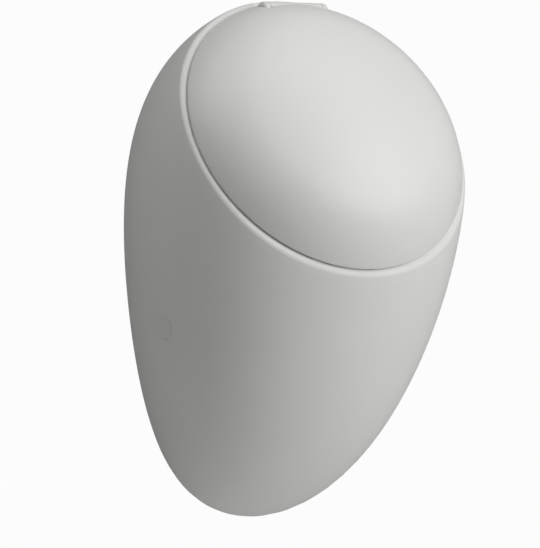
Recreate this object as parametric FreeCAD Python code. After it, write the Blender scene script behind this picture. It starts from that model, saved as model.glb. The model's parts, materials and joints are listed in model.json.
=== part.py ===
"""Wall hung urinal with a hinged lid: an egg of glazed ceramic with a tilted round opening.

Millimetres, +Z up.  The wall is the plane y = 0 and the object stands out of it towards -Y.
The origin lies on the wall, on the centre line, midway between the two hanger screws.
Each physical piece is a solid, or a group of like solids, of its own.
"""

import FreeCAD
import Part
import math
import os

from FreeCAD import Placement, Rotation, Vector

# ---------------------------------------------------------------- driving dimensions
# Egg body: horizontal sections, each an oval about its own centre.
EGG_HEIGHT = 522.5          # full egg, before the lid plane takes its top off
EGG_HALF_WIDTH = 162.9      # half width at mid height
EGG_TAPER = (0.209, 0.148, -0.027)      # how the half width grows, flattens and leans upward
EGG_FRONT_RATIO = 0.883     # depth in front of the section centre, as a share of the half width
EGG_REAR_RATIO = 1.173      # depth behind it, cut off by the wall
EGG_CENTRE = (126.2, 91.0, -24.5, 10.8)  # section centre ahead of the wall: mid height, lean, bend, twist
HANGER_HEIGHT = 370.0       # hanger screws above the lowest point of the body

# Lid plane: the round opening faces forward and up.
LID_TILT = 30.1             # degrees between the lid plane and the wall
LID_AHEAD = 185.0           # centre of the opening ahead of the wall
LID_UP = 379.5              # and above the lowest point of the body
LID_RADIUS = 153.1          # outer edge of the lid
LID_GAP = 1.5               # shadow gap between lid and rim
DOME_CROWN_RADIUS = 280.0
DOME_KNUCKLE_RADIUS = 100.0
DOME_EDGE_ANGLE = 62.0      # degrees from the lid plane to the dome's surface at its edge
LID_THICKNESS = 3.6
LID_FOOT_RISE = 1.5         # height of the rounding at the foot of the dome

# Ceramic
WALL = 13.0                 # thickness of the glazed ware
RIM_ROUNDING = 5.0          # outer edge of the rim
RIM_LIP_ROUNDING = 4.0      # inner edge of the rim
OPENING_RADIUS = 137.0      # clear opening of the bowl in the rim
BOWL_LOW = 168.0            # bottom of the bowl above the lowest point of the body
BOWL_HIGH = 478.0           # vault of the bowl behind the rim
BOWL_HALF_WIDTH = 150.0
BOWL_HALF_DEPTH = 100.6
BOWL_SQUARENESS = 2.6       # exponent of the closing curve towards the bottom and the vault
BOWL_CENTRE = (169.5, 11.5, -63.0)
BOWL_TAPER = (0.10, -0.12)
CAVITY_DROP = 30.0          # the hidden hollow stays this far below the lid plane

# Hinge, in lid coordinates: up the lid plane from its centre, and outward from it
HINGE_UP = 137.5
HINGE_OUT = 10.5
BARREL_RADIUS = 9.8
BARREL_HALF_LENGTH = 30.0
PILLAR_INNER_X = 30.6
PILLAR_OUTER_X = 37.6
NOTCH_HALF_WIDTH = 39.5     # notch in the lid's back edge that clears the hinge
NOTCH_UP = 125.0
NOTCH_WALL_LOW = 16.0       # lower edge of the wall round the notch
DECK_DROP = 16.0            # deck of the hinge pocket below the lid plane
POCKET_HALF_WIDTH = 62.0
POCKET_RADIUS = 152.6
POCKET_FRONT_UP = 112.0
DAMPER_RADIUS = 8.0
SHAFT_RADIUS = 3.0
SHAFT_INNER_X = 13.0
RUNNING = 0.05              # radial clearance of a shaft that turns
POCKET_CORNER = 6.0         # rounding of the pocket's corners
FOOT_LOW_UP = 126.0         # foot plate of the hinge on the deck
FOOT_HIGH_UP = 145.0
FOOT_THICKNESS = 5.0
HINGE_BOLT_X = 18.0
HINGE_BOLT_UP = 138.0
HINGE_BOLT_RADIUS = 3.0
HINGE_PAD = 2.0             # rubber pad between foot plate and deck
BUSH_RADIUS = 6.0           # expansion bushes and the holes that hold them
BUSH_DEPTH = 17.0
LEAF_LOW_UP = 88.0          # leaf plate under the dome
LEAF_UNDER = 9.0            # its underside and top, outward from the lid plane
LEAF_TOP = 13.0
LEAF_RIB_XS = (-28.0, -10.0, 10.0, 28.0)
LEAF_RIB = 3.0
LEAF_SCREW_X = 22.0
LEAF_SCREW_UPS = (96.0, 116.0)
LEAF_SCREW_RADIUS = 1.85
LEAF_SCREW_REACH = 11.0     # how far the screws go into their bosses
SCREW_BOSS_RADIUS = 5.5
BUFFER_RADIUS = 143.5       # four rubber buffers on this circle
BUFFER_ANGLES = (40, 140, 220, 320)
BUFFER_SIZE = 5.0
BUFFER_STEM = 1.5

# Drain
WASTE_AHEAD = 95.0          # axis of the waste ahead of the wall
WASTE_HOLE_RADIUS = 24.0
WASTE_SEAT = 171.0          # flat seat of the waste in the bottom of the bowl
WASTE_SEAT_RADIUS = 39.5
WASTE_UNDER = 153.0         # flat underside of the bowl at the waste
WASTE_BOSS_RADIUS = 38.0
FLANGE_RADIUS = 38.5
FLANGE_THICKNESS = 4.0
STRAINER_RADIUS = 30.6
NUT_THICKNESS = 9.0
SEAL = 2.0                  # thickness of the flat rubber seals
TAIL_RADIUS = 21.0          # waste tail pipe
TAIL_DEPTH = 19.0           # how far it goes into the trap
PLASTIC = 3.0               # wall of the plastic pipes
OUTLET_HEIGHT = 116.0       # axis of the level outlet above the lowest point
OUTLET_RADIUS = 25.0        # DN 50 pipe of the wall drain
SPOUT_RADIUS = 20.0         # trap's own outlet pipe
SPOUT_BORE = 17.5
SPOUT_END = 36.0            # its end, ahead of the wall
TAIL_SEAL = 3.0
TRAP_RADIUS = 34.0
TRAP_TOP = 137.0
TRAP_JOINT = 76.0           # where the cup screws on to the trap body
TRAP_LOW = 50.0
CUP_SEAL = 1.5
DIP_RADIUS = 20.5           # dip pipe and how low it ends
DIP_LOW = 60.0

# Water inlet
INLET_HEIGHT = 430.0
INLET_BORE = 16.0           # for a 32 mm flush pipe
INLET_RADIUS = 20.0
INLET_HOLE_RADIUS = 18.0    # hole in the back wall of the bowl
INLET_BACK = 48.0           # flat faces of the boss round that hole, ahead of the wall
INLET_FRONT = 77.0
INLET_BOSS_RADIUS = 30.0
INLET_SOCKET = 34.0         # end of the flush pipe's socket, ahead of the wall
RING_GROOVE = 2.5           # depth of the sealing ring's groove in the socket
RING_SPAN = (6.0, 10.0)     # and where it lies, ahead of the wall
SPIGOT_RADIUS = 17.0        # threaded spigot through the bowl's wall
SPRAY_RADIUS = 27.0
SPRAY_SHELL = 2.5
SPRAY_SEAL = 1.5

# Fixing
BACK_PLATE = 14.0           # ceramic land that hangs on the hanger
BACK_PLATE_LOW = 392.0
LAND_HOLE_RADIUS = 24.0     # hole of the land for the flush pipe's socket
HANGER_STEEL = 3.0
HANGER_BEND = 2.0           # inner radius of its folds
HANGER_HALF_WIDTH = 77.0
HANGER_SPACING = 130.0
HANGER_LIP = 12.0
HANGER_PAD = 2.0
SCREW_HOLE_RADIUS = 4.5     # for 8 mm wall screws
SIDE_FIX_HEIGHT = 194.0     # clamp screws and their caps
SIDE_FIX_AHEAD = 124.0
SIDE_CAP_RADIUS = 13.5
SIDE_CAP_PROUD = 0.8
CAP_ROUNDING = 0.6
SIDE_BORE_FLOOR = 140.0     # floor of the cap's recess, from the centre line
SIDE_BOSS_FACE = 128.0      # inner face of the ceramic boss, from the centre line
SIDE_BOSS_RADIUS = 22.0
SLEEVE_HOLE_RADIUS = 7.5
CLAMP_RADIUS = 4.0          # clamp screws
STRIP = 4.0                 # steel of the side brackets
STRIP_BEND = 3.0            # inner radius of their folds
STRIP_HALF_HEIGHT = 15.0
SIDE_HOLE_X = 66.0          # wall holes of the side brackets, from the centre line
SIDE_HOLE_RADIUS = 5.0

FAR = 500.0                 # beyond the whole object
PAST = 5.0                  # how far a cutting tool runs past the face that it opens

X = Vector(1, 0, 0)
Y = Vector(0, 1, 0)
Z = Vector(0, 0, 1)


# ---------------------------------------------------------------- frame helpers
def at(x, ahead, height):
    """Point from the centre line, the wall and the lowest point of the body."""
    return Vector(x, -ahead, height - HANGER_HEIGHT)


LID_PLACE = Placement(at(0, LID_AHEAD, LID_UP), Rotation(X, 90.0 - LID_TILT))


def on_lid(shape):
    """Move a shape from lid coordinates (across, up the plane, outward) to its place."""
    moved = shape.copy()
    moved.Placement = LID_PLACE.multiply(moved.Placement)
    return moved


def block(x0, x1, y0, y1, z0, z1):
    return Part.makeBox(x1 - x0, y1 - y0, z1 - z0, Vector(x0, y0, z0))


def rod(radius, start, end):
    return Part.makeCylinder(radius, (end - start).Length, start, end - start)


def turned(profile, centre, axis):
    """Solid of revolution of a closed profile of edges."""
    face = Part.Face(Part.Wire(Part.__sortEdges__(profile)))
    return face.revolve(centre, axis, 360)


def outline(points):
    """Closed chain of straight edges through points."""
    closed = points + [points[0]]
    return [Part.LineSegment(a, b).toShape() for a, b in zip(closed, closed[1:])]


def mirror_x(shape):
    return shape.mirror(Vector(0, 0, 0), X)


def both_sides(shape):
    return [shape, mirror_x(shape)]


def folded(points, radii, thickness, run):
    """Sheet strip: a path with rounded corners, thickened to one side and run out along a vector.

    A negative thickness takes the path's other side.
    """
    edges = []
    start = points[0]
    for before, corner, after, radius in zip(points, points[1:], points[2:], radii):
        inward = (corner - before).normalize()
        outward = (after - corner).normalize()
        half_turn = inward.getAngle(outward) / 2
        tangent = radius * math.tan(half_turn)
        middle = corner + (outward - inward).normalize() * (radius / math.cos(half_turn) - radius)
        first, last = corner - inward * tangent, corner + outward * tangent
        edges.append(Part.LineSegment(start, first).toShape())
        edges.append(Part.Arc(first, middle, last).toShape())
        start = last
    edges.append(Part.LineSegment(start, points[-1]).toShape())
    path = Part.Wire(edges)
    return path.makeOffset2D(thickness, fill=True, openResult=True).extrude(run)


# ---------------------------------------------------------------- the egg
def egg_section(share):
    """Half width and section centre of the egg at a share of its height."""
    lean = 2 * share - 1
    k1, k2, k3 = EGG_TAPER
    width = EGG_HALF_WIDTH * 2 * math.sqrt(share * (1 - share))
    width *= 1 + k1 * lean + k2 * lean ** 2 + k3 * lean ** 3
    c0, c1, c2, c3 = EGG_CENTRE
    centre = c0 + c1 * lean / 2 + c2 * lean ** 2 + c3 * lean ** 3
    return width, centre


def oval(half_width, front, rear, centre, height, count=28):
    """Smooth closed wire: one horizontal section of a body."""
    points = []
    for i in range(count):
        angle = 2 * math.pi * (i + 0.5) / count
        c = math.cos(angle)
        depth = (front + rear) / 2 * c + (front - rear) / 2 * c * c
        points.append(at(half_width * math.sin(angle), centre + depth, height))
    curve = Part.BSplineCurve()
    curve.interpolate(Points=points, PeriodicFlag=True)
    return Part.Wire(curve.toShape())


def egg(inset, rings=17):
    """The egg as a solid, drawn in by inset all round."""
    wires = []
    for i in range(rings):
        phase = math.pi * (0.25 + i) / (rings - 0.5)
        share = (1 - math.cos(phase)) / 2
        width, centre = egg_section(share)
        slim = (EGG_HALF_WIDTH - inset) / EGG_HALF_WIDTH
        height = inset + share * (EGG_HEIGHT - 2 * inset)
        width *= slim
        wires.append(oval(width, EGG_FRONT_RATIO * width, EGG_REAR_RATIO * width, centre, height))
    return Part.makeLoft(wires, True, False)


def bowl(grow, rings=15):
    """The bowl's hollow as a solid, grown by grow all round."""
    half = (BOWL_HIGH - BOWL_LOW) / 2
    middle = (BOWL_HIGH + BOWL_LOW) / 2
    wires = []
    for i in range(rings):
        phase = math.pi * (0.25 + i) / (rings - 0.5)
        level = -math.cos(phase)
        close = math.sqrt(1 - abs(level) ** BOWL_SQUARENESS)
        k1, k2 = BOWL_TAPER
        width = (BOWL_HALF_WIDTH * (1 + k1 * level + k2 * level ** 2) + grow) * close
        depth = (BOWL_HALF_DEPTH + grow) * close
        c0, c1, c2 = BOWL_CENTRE
        centre = c0 + c1 * level + c2 * level ** 2
        wires.append(oval(width, depth, depth, centre, middle + level * (half + grow)))
    return Part.makeLoft(wires, True, False)


def below_lid(drop):
    """Half space, as a big block, that lies below the lid plane by drop."""
    return on_lid(block(-FAR, FAR, -FAR, FAR, -2 * FAR, -drop))


# ---------------------------------------------------------------- ceramic
def rim_rounded(shell):
    """Round the outer edge of the rim, where the egg meets the lid plane."""
    normal = LID_PLACE.Rotation.multVec(Z)
    centre = LID_PLACE.Base
    for edge in shell.Edges:
        middle = edge.valueAt((edge.FirstParameter + edge.LastParameter) / 2)
        start = edge.valueAt(edge.FirstParameter)
        if abs((middle - centre).dot(normal)) < 0.01 and abs((start - centre).dot(normal)) < 0.01:
            return shell.makeFillet(RIM_ROUNDING, [edge])
    raise ValueError("the rim edge was not found")


def rim_opening():
    """Round opening in the rim, with a rounded lip, as a tool in lid coordinates."""
    r, f = OPENING_RADIUS, RIM_LIP_ROUNDING
    lip = Part.Arc(
        Vector(r, 0, -f),
        Vector(r + f * (1 - math.sqrt(0.5)), 0, -f * (1 - math.sqrt(0.5))),
        Vector(r + f, 0, 0),
    ).toShape()
    low = -WALL - 0.5
    chain = [Vector(r + f, 0, 0), Vector(r + f, 0, PAST), Vector(0, 0, PAST), Vector(0, 0, low),
             Vector(r, 0, low), Vector(r, 0, -f)]
    edges = [Part.LineSegment(a, b).toShape() for a, b in zip(chain, chain[1:])]
    return turned([lip] + edges, Vector(0, 0, 0), Z)


def hinge_pocket():
    """Recess behind the opening whose deck carries the hinge, as a tool in lid coordinates."""
    disc = rod(POCKET_RADIUS, Vector(0, 0, -DECK_DROP), Vector(0, 0, PAST))
    frame = block(-POCKET_HALF_WIDTH, POCKET_HALF_WIDTH, POCKET_FRONT_UP, 170, -DECK_DROP, PAST)
    corners = [edge for edge in frame.Edges if is_corner(edge, POCKET_FRONT_UP)]
    return disc.common(frame.makeFillet(POCKET_CORNER, corners))


def is_corner(edge, up):
    """True for an edge that runs outward from the lid plane at a given place up the plane."""
    box = edge.BoundBox
    return box.ZLength > 1 and abs(box.YMin - up) < 0.01 and abs(box.YMax - up) < 0.01


def hinge_holes(radius, low, high):
    """Two rods through the hinge bolts' places, in lid coordinates."""
    rods = [rod(radius, Vector(x, HINGE_BOLT_UP, low), Vector(x, HINGE_BOLT_UP, high))
            for x in (-HINGE_BOLT_X, HINGE_BOLT_X)]
    return Part.makeCompound(rods)


def side_rod(radius, x0, x1):
    """Rod along the right-hand clamp screw, between two distances from the centre line."""
    return rod(radius, at(x0, SIDE_FIX_AHEAD, SIDE_FIX_HEIGHT), at(x1, SIDE_FIX_AHEAD, SIDE_FIX_HEIGHT))


def upright(radius, low, high):
    """Rod on the axis of the waste, between two heights."""
    return rod(radius, at(0, WASTE_AHEAD, low), at(0, WASTE_AHEAD, high))


def level(radius, height, back, front):
    """Rod square to the wall on the centre line, between two distances from the wall."""
    return rod(radius, at(0, back, height), at(0, front, height))


def hidden_hollow():
    """Room between bowl and outside, open to the wall, less the lands and bosses that stand in it."""
    hollow = egg(WALL).cut(bowl(WALL)).common(below_lid(CAVITY_DROP))
    land = block(-FAR, FAR, -BACK_PLATE, FAR, BACK_PLATE_LOW - HANGER_HEIGHT, FAR)
    kept = [land, upright(WASTE_BOSS_RADIUS, WASTE_UNDER, WASTE_SEAT)]
    kept.append(level(INLET_BOSS_RADIUS, INLET_HEIGHT, INLET_BACK, INLET_FRONT))
    kept += both_sides(side_rod(SIDE_BOSS_RADIUS, SIDE_BOSS_FACE, SIDE_BORE_FLOOR + 20))
    for piece in kept:
        hollow = hollow.cut(piece)
    return hollow


def basin():
    """Hollow of the bowl with the flat seats of the flush head and the waste."""
    hollow = bowl(0).common(below_lid(WALL))
    hollow = hollow.cut(level(INLET_BOSS_RADIUS, INLET_HEIGHT, INLET_BACK, INLET_FRONT))
    hollow = hollow.cut(upright(WASTE_SEAT_RADIUS, BOWL_LOW - PAST, WASTE_SEAT))
    return hollow.fuse(upright(WASTE_SEAT_RADIUS, WASTE_SEAT, WASTE_SEAT + 12))


def ceramic_body():
    """The glazed ware: outer egg, bowl, rim, hinge deck and the hidden hollow open to the wall."""
    room = block(-FAR, FAR, -FAR, 0, -FAR, FAR)
    shell = rim_rounded(egg(0).common(room).common(below_lid(0)))
    cuts = [hidden_hollow(), basin(), on_lid(rim_opening()), on_lid(hinge_pocket())]
    cuts.append(on_lid(hinge_holes(BUSH_RADIUS, -DECK_DROP - BUSH_DEPTH, -DECK_DROP + 1)))
    cuts.append(upright(WASTE_HOLE_RADIUS, WASTE_UNDER - PAST, WASTE_SEAT + PAST))
    cuts.append(level(LAND_HOLE_RADIUS, INLET_HEIGHT, -PAST, BACK_PLATE + PAST))
    cuts.append(level(INLET_HOLE_RADIUS, INLET_HEIGHT, INLET_BACK - PAST, INLET_FRONT + PAST))
    cuts += both_sides(side_rod(SLEEVE_HOLE_RADIUS, SIDE_BOSS_FACE - PAST, SIDE_BORE_FLOOR + PAST))
    cuts += both_sides(side_rod(SIDE_CAP_RADIUS + 0.25, SIDE_BORE_FLOOR, SIDE_BORE_FLOOR + 30))
    for piece in cuts:
        shell = shell.cut(piece)
    return shell


# ---------------------------------------------------------------- lid
def dome_profile(inset):
    """Radius and height functions of the lid's dome: crown and knuckle arcs drawn in by inset."""
    edge = math.radians(DOME_EDGE_ANGLE)
    sine = (LID_RADIUS - DOME_KNUCKLE_RADIUS * math.sin(edge)) / (DOME_CROWN_RADIUS - DOME_KNUCKLE_RADIUS)
    join = math.asin(sine)
    knuckle_x = (DOME_CROWN_RADIUS - DOME_KNUCKLE_RADIUS) * math.sin(join)
    knuckle_z = LID_GAP + 0.5 - DOME_KNUCKLE_RADIUS * math.cos(edge)
    crown_z = knuckle_z - (DOME_CROWN_RADIUS - DOME_KNUCKLE_RADIUS) * math.cos(join)
    crown = DOME_CROWN_RADIUS - inset
    knuckle = DOME_KNUCKLE_RADIUS - inset

    def on_crown(angle):
        return Vector(crown * math.sin(angle), 0, crown_z + crown * math.cos(angle))

    def on_knuckle(angle):
        return Vector(knuckle_x + knuckle * math.sin(angle), 0, knuckle_z + knuckle * math.cos(angle))

    rise = LID_FOOT_RISE if inset == 0 else 0.0
    end = math.acos((LID_GAP + rise - knuckle_z) / knuckle)
    arcs = [
        Part.Arc(on_crown(0), on_crown(join / 2), on_crown(join)).toShape(),
        Part.Arc(on_knuckle(join), on_knuckle((join + end) / 2), on_knuckle(end)).toShape(),
    ]
    foot = on_knuckle(end)
    if rise:
        radius = rise / (1 + math.cos(end))
        centre = foot - Vector(math.sin(end), 0, math.cos(end)) * radius
        half_way = -end / 2
        middle = centre + Vector(math.cos(half_way), 0, math.sin(half_way)) * radius
        under = Vector(centre.x, 0, LID_GAP)
        arcs.append(Part.Arc(foot, middle, under).toShape())
        foot = under
    return arcs, on_crown(0), foot


def dome(inset):
    """Solid dome above the shadow gap, drawn in by inset, in lid coordinates."""
    arcs, top, foot = dome_profile(inset)
    chain = [foot, Vector(0, 0, LID_GAP), top]
    arcs += [Part.LineSegment(a, b).toShape() for a, b in zip(chain, chain[1:])]
    return turned(arcs, Vector(0, 0, 0), Z)


def buffer_places():
    """Centres of the four buffers in lid coordinates."""
    for degrees in BUFFER_ANGLES:
        angle = math.radians(degrees)
        yield Vector(BUFFER_RADIUS * math.cos(angle), BUFFER_RADIUS * math.sin(angle), 0)


def leaf_screw_places():
    for up in LEAF_SCREW_UPS:
        for x in (-LEAF_SCREW_X, LEAF_SCREW_X):
            yield Vector(x, up, 0)


def lid_shell():
    """Moulded dome with a hinge notch, its inner wall, screw bosses and buffer pads."""
    outside = dome(0)
    shell = outside.cut(dome(LID_THICKNESS))
    notch = block(-NOTCH_HALF_WIDTH, NOTCH_HALF_WIDTH, NOTCH_UP, 170, -5, 80)
    wall = 3.0
    half = NOTCH_HALF_WIDTH + wall
    walls = block(-half, half, NOTCH_UP - wall, 170, NOTCH_WALL_LOW, 80)
    shell = shell.fuse(walls.common(outside)).cut(notch)
    for place in leaf_screw_places():
        boss = rod(SCREW_BOSS_RADIUS, place + Z * LEAF_TOP, place + Z * 60)
        shell = shell.fuse(boss.common(outside))
        shell = shell.cut(rod(LEAF_SCREW_RADIUS + 0.05, place, place + Z * (LEAF_TOP + LEAF_SCREW_REACH + 1)))
    for place in buffer_places():
        pad = rod(BUFFER_SIZE + 1.5, place + Z * (LID_GAP + 1.0), place + Z * 30)
        shell = shell.fuse(pad.common(outside))
        shell = shell.cut(rod(BUFFER_STEM + 0.1, place, place + Z * (LID_GAP + 5.0)))
    return on_lid(shell.removeSplitter())


def lid_buffers():
    """Four rubber buffers: a foot that rests on the rim and a stem pressed into its pad."""
    pieces = []
    for place in buffer_places():
        foot = rod(BUFFER_SIZE, place + Z * 0.05, place + Z * (LID_GAP + 1.0))
        stem = rod(BUFFER_STEM, place + Z * LID_GAP, place + Z * (LID_GAP + 4.5))
        pieces.append(foot.fuse(stem).removeSplitter())
    return on_lid(Part.makeCompound(pieces))


# ---------------------------------------------------------------- hinge
def on_axis(radius, x0, x1):
    """Rod on the hinge axis, in lid coordinates."""
    return rod(radius, Vector(x0, HINGE_UP, HINGE_OUT), Vector(x1, HINGE_UP, HINGE_OUT))


def hinge_leaf():
    """Lid half of the hinge: a barrel for the dampers with a ribbed plate under the dome."""
    plate = block(-BARREL_HALF_LENGTH, BARREL_HALF_LENGTH, LEAF_LOW_UP, HINGE_UP, LEAF_UNDER, LEAF_TOP)
    plate = plate.makeFillet(6, [edge for edge in plate.Edges if is_corner(edge, LEAF_LOW_UP)])
    leaf = plate.fuse(on_axis(BARREL_RADIUS, -BARREL_HALF_LENGTH, BARREL_HALF_LENGTH))
    tip, knee, deep = LEAF_LOW_UP + 4, HINGE_UP - BARREL_RADIUS - 1.7, LEAF_UNDER - 5
    for x in LEAF_RIB_XS:
        side = x - LEAF_RIB / 2
        web = [Vector(side, tip, LEAF_UNDER), Vector(side, HINGE_UP, LEAF_UNDER),
               Vector(side, HINGE_UP, deep), Vector(side, knee, deep)]
        leaf = leaf.fuse(Part.Face(Part.Wire(outline(web))).extrude(X * LEAF_RIB))
    leaf = leaf.cut(on_axis(DAMPER_RADIUS + RUNNING, -PILLAR_OUTER_X, PILLAR_OUTER_X))
    for place in leaf_screw_places():
        leaf = leaf.cut(rod(LEAF_SCREW_RADIUS + 0.35, place, place + Z * (LEAF_TOP + PAST)))
    return on_lid(leaf.removeSplitter())


def leaf_screws():
    """Four pan head screws that hold the leaf in the lid's bosses."""
    pieces = []
    for place in leaf_screw_places():
        head = rod(4.0, place + Z * (LEAF_UNDER - 2.4), place + Z * LEAF_UNDER)
        head = head.makeFillet(1.2, [head.Edges[2]])
        tip = LEAF_TOP + LEAF_SCREW_REACH
        shank = rod(LEAF_SCREW_RADIUS, place + Z * (LEAF_UNDER - 0.5), place + Z * tip)
        pieces.append(head.fuse(shank).removeSplitter())
    return on_lid(Part.makeCompound(pieces))


def hinge_base():
    """Fixed half of the hinge: a foot plate on the deck with a pillar at each end."""
    low = -DECK_DROP + HINGE_PAD
    end = PILLAR_OUTER_X
    plate = block(-end, end, FOOT_LOW_UP, FOOT_HIGH_UP, low, low + FOOT_THICKNESS)
    for x0, x1 in ((PILLAR_INNER_X, end), (-end, -PILLAR_INNER_X)):
        post = block(x0, x1, HINGE_UP - BARREL_RADIUS, HINGE_UP + BARREL_RADIUS, low, HINGE_OUT)
        plate = plate.fuse(post).fuse(on_axis(BARREL_RADIUS, x0, x1))
    plate = plate.cut(on_axis(SHAFT_RADIUS + 0.02, -end - PAST, end + PAST))
    plate = plate.cut(hinge_holes(HINGE_BOLT_RADIUS + 0.3, low - PAST, low + FOOT_THICKNESS + PAST))
    return on_lid(plate.removeSplitter())


def hinge_gasket():
    """Rubber pad between the foot plate and the glazed deck."""
    low, edge = -DECK_DROP, PILLAR_OUTER_X + 1
    pad = block(-edge, edge, FOOT_LOW_UP - 1, FOOT_HIGH_UP, low, low + HINGE_PAD)
    return on_lid(pad.cut(hinge_holes(BUSH_RADIUS + 0.3, low - PAST, low + PAST)))


def hinge_bolts():
    """Two hinge bolts: low heads on the foot plate, shanks down into the bushes."""
    top = -DECK_DROP + HINGE_PAD + FOOT_THICKNESS
    pieces = []
    for x in (-HINGE_BOLT_X, HINGE_BOLT_X):
        place = Vector(x, HINGE_BOLT_UP, top)
        head = rod(5.5, place, place + Z * 4)
        head = head.makeFillet(1.0, [head.Edges[0]])
        shank = rod(HINGE_BOLT_RADIUS, place - Z * (BUSH_DEPTH + 6), place + Z)
        socket = hexagon(2.5, place + Z * 1.5, Z * 4)
        pieces.append(head.fuse(shank).cut(socket))
    return on_lid(Part.makeCompound(pieces))


def hexagon(inradius, centre, length):
    """Hexagonal bar from a centre point along a length vector that lies on an axis."""
    along = Vector(length).normalize()
    side = Z.cross(along) if abs(along.dot(Z)) < 0.5 else X
    points = []
    for i in range(6):
        turn = Rotation(along, 60 * i)
        points.append(centre + turn.multVec(side) * (inradius / math.cos(math.pi / 6)))
    return Part.Face(Part.Wire(outline(points))).extrude(length)


def hinge_bushes():
    """Two rubber expansion bushes in the holes of the deck."""
    low, high = -DECK_DROP - BUSH_DEPTH + 1, -DECK_DROP + HINGE_PAD - 0.2
    bushes = hinge_holes(BUSH_RADIUS - 0.1, low, high)
    return on_lid(bushes.cut(hinge_holes(HINGE_BOLT_RADIUS + 0.1, low - PAST, high + PAST)))


def damper_bodies(side):
    """One damper cartridge in the barrel, bored for the shaft it turns about."""
    outer = side * BARREL_HALF_LENGTH
    body = on_axis(DAMPER_RADIUS, side * 4.0, outer)
    return on_lid(body.cut(on_axis(SHAFT_RADIUS + RUNNING, side * SHAFT_INNER_X - side, outer + side)))


def damper_shafts():
    """Two fixed shafts, pressed into the pillars, that the lid and its dampers turn about."""
    shafts = [on_axis(SHAFT_RADIUS, side * SHAFT_INNER_X, side * PILLAR_OUTER_X) for side in (-1, 1)]
    return on_lid(Part.makeCompound(shafts))


# ---------------------------------------------------------------- waste and trap
def ring(outer, inner, low, high):
    """Ring on the axis of the waste, between two heights."""
    return upright(outer, low, high).cut(upright(inner, low - 1, high + 1))


def top_edges(solid):
    """Edges that lie in the highest plane of a solid."""
    high = solid.BoundBox.ZMax
    return [e for e in solid.Edges if e.BoundBox.ZMin > high - 0.01]


def round_waste(reach, count, height):
    """Evenly spaced points on a circle about the axis of the waste."""
    for i in range(count):
        angle = 2 * math.pi * i / count
        yield at(reach * math.cos(angle), WASTE_AHEAD + reach * math.sin(angle), height)


def waste_gasket():
    return ring(FLANGE_RADIUS - 0.5, WASTE_HOLE_RADIUS, WASTE_SEAT, WASTE_SEAT + SEAL)


def waste_flange():
    """Flanged waste with a seat for the strainer and a tail pipe through the ceramic."""
    low = WASTE_SEAT + SEAL
    top = low + FLANGE_THICKNESS
    flange = upright(FLANGE_RADIUS, low, top)
    flange = flange.makeFillet(1.5, top_edges(flange))
    body = flange.fuse(upright(TAIL_RADIUS, TRAP_TOP - TAIL_DEPTH, low + 1))
    body = body.cut(upright(TAIL_RADIUS - PLASTIC, TRAP_LOW, top + PAST))
    return body.cut(upright(STRAINER_RADIUS + 0.4, low + 2, top + PAST)).removeSplitter()


def waste_washer():
    return ring(34.0, TAIL_RADIUS + 0.1, WASTE_UNDER - SEAL, WASTE_UNDER)


def waste_nut():
    """Round back nut with eight grip notches."""
    high = WASTE_UNDER - SEAL
    low = high - NUT_THICKNESS
    nut = ring(32.0, TAIL_RADIUS + 0.05, low, high)
    for place in round_waste(33.0, 8, low - 1):
        nut = nut.cut(rod(3.5, place, place + Z * (NUT_THICKNESS + 3)))
    return nut


def strainer():
    """Domed lift-out strainer with two rings of holes, a centre hole and a locating skirt."""
    seat = WASTE_SEAT + SEAL + 2
    edge, rise, thick = STRAINER_RADIUS, 5.0, 2.0
    radius = (edge ** 2 + rise ** 2) / (2 * rise)
    centre = at(0, WASTE_AHEAD, seat + thick + rise - radius)
    body = Part.makeSphere(radius, centre).common(upright(edge, seat, seat + 20))
    under = Part.makeSphere(radius - thick, centre).common(upright(edge - 4, seat - 1, seat + 20))
    skirt = ring(TAIL_RADIUS - PLASTIC - 0.3, TAIL_RADIUS - PLASTIC - 1.8, seat - 8, seat + 5)
    body = body.cut(under).fuse(skirt)
    for count, reach, hole in ((1, 0.0, 2.6), (6, 7.0, 2.0), (11, 12.6, 2.0)):
        for place in round_waste(reach, count, seat - 10):
            body = body.cut(rod(hole, place, place + Z * 30))
    return body.removeSplitter()


def trap_body():
    """Bottle trap: socket for the waste tail, dip pipe, outer cylinder and level outlet."""
    inside = TRAP_RADIUS - PLASTIC
    over = TRAP_TOP + 1
    body = upright(TRAP_RADIUS, TRAP_JOINT, TRAP_TOP)
    body = body.fuse(upright(inside, TRAP_JOINT - 8, TRAP_JOINT + 1))
    body = body.fuse(level(SPOUT_RADIUS, OUTLET_HEIGHT, SPOUT_END, WASTE_AHEAD - 10))
    body = body.cut(ring(inside, TAIL_RADIUS + 3.5, TRAP_JOINT + 3, TRAP_TOP - 4))
    body = body.cut(ring(inside, DIP_RADIUS, TRAP_JOINT + 3, OUTLET_HEIGHT - 4))
    body = body.cut(ring(inside - PLASTIC, DIP_RADIUS, TRAP_JOINT - 9, TRAP_JOINT + 4))
    body = body.fuse(upright(DIP_RADIUS, DIP_LOW, TRAP_JOINT))
    body = body.cut(level(SPOUT_BORE, OUTLET_HEIGHT, SPOUT_END - PAST, WASTE_AHEAD - TAIL_RADIUS - 4.5))
    body = body.cut(upright(DIP_RADIUS - 2.5, DIP_LOW - 1, over))
    body = body.cut(upright(TAIL_RADIUS + 0.05, TRAP_TOP - TAIL_DEPTH, over))
    return body.cut(upright(TAIL_RADIUS + 2.5, TRAP_TOP - TAIL_SEAL, over)).removeSplitter()


def tail_seal():
    return ring(TAIL_RADIUS + 2.5, TAIL_RADIUS + 0.05, TRAP_TOP - TAIL_SEAL, TRAP_TOP)


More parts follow.
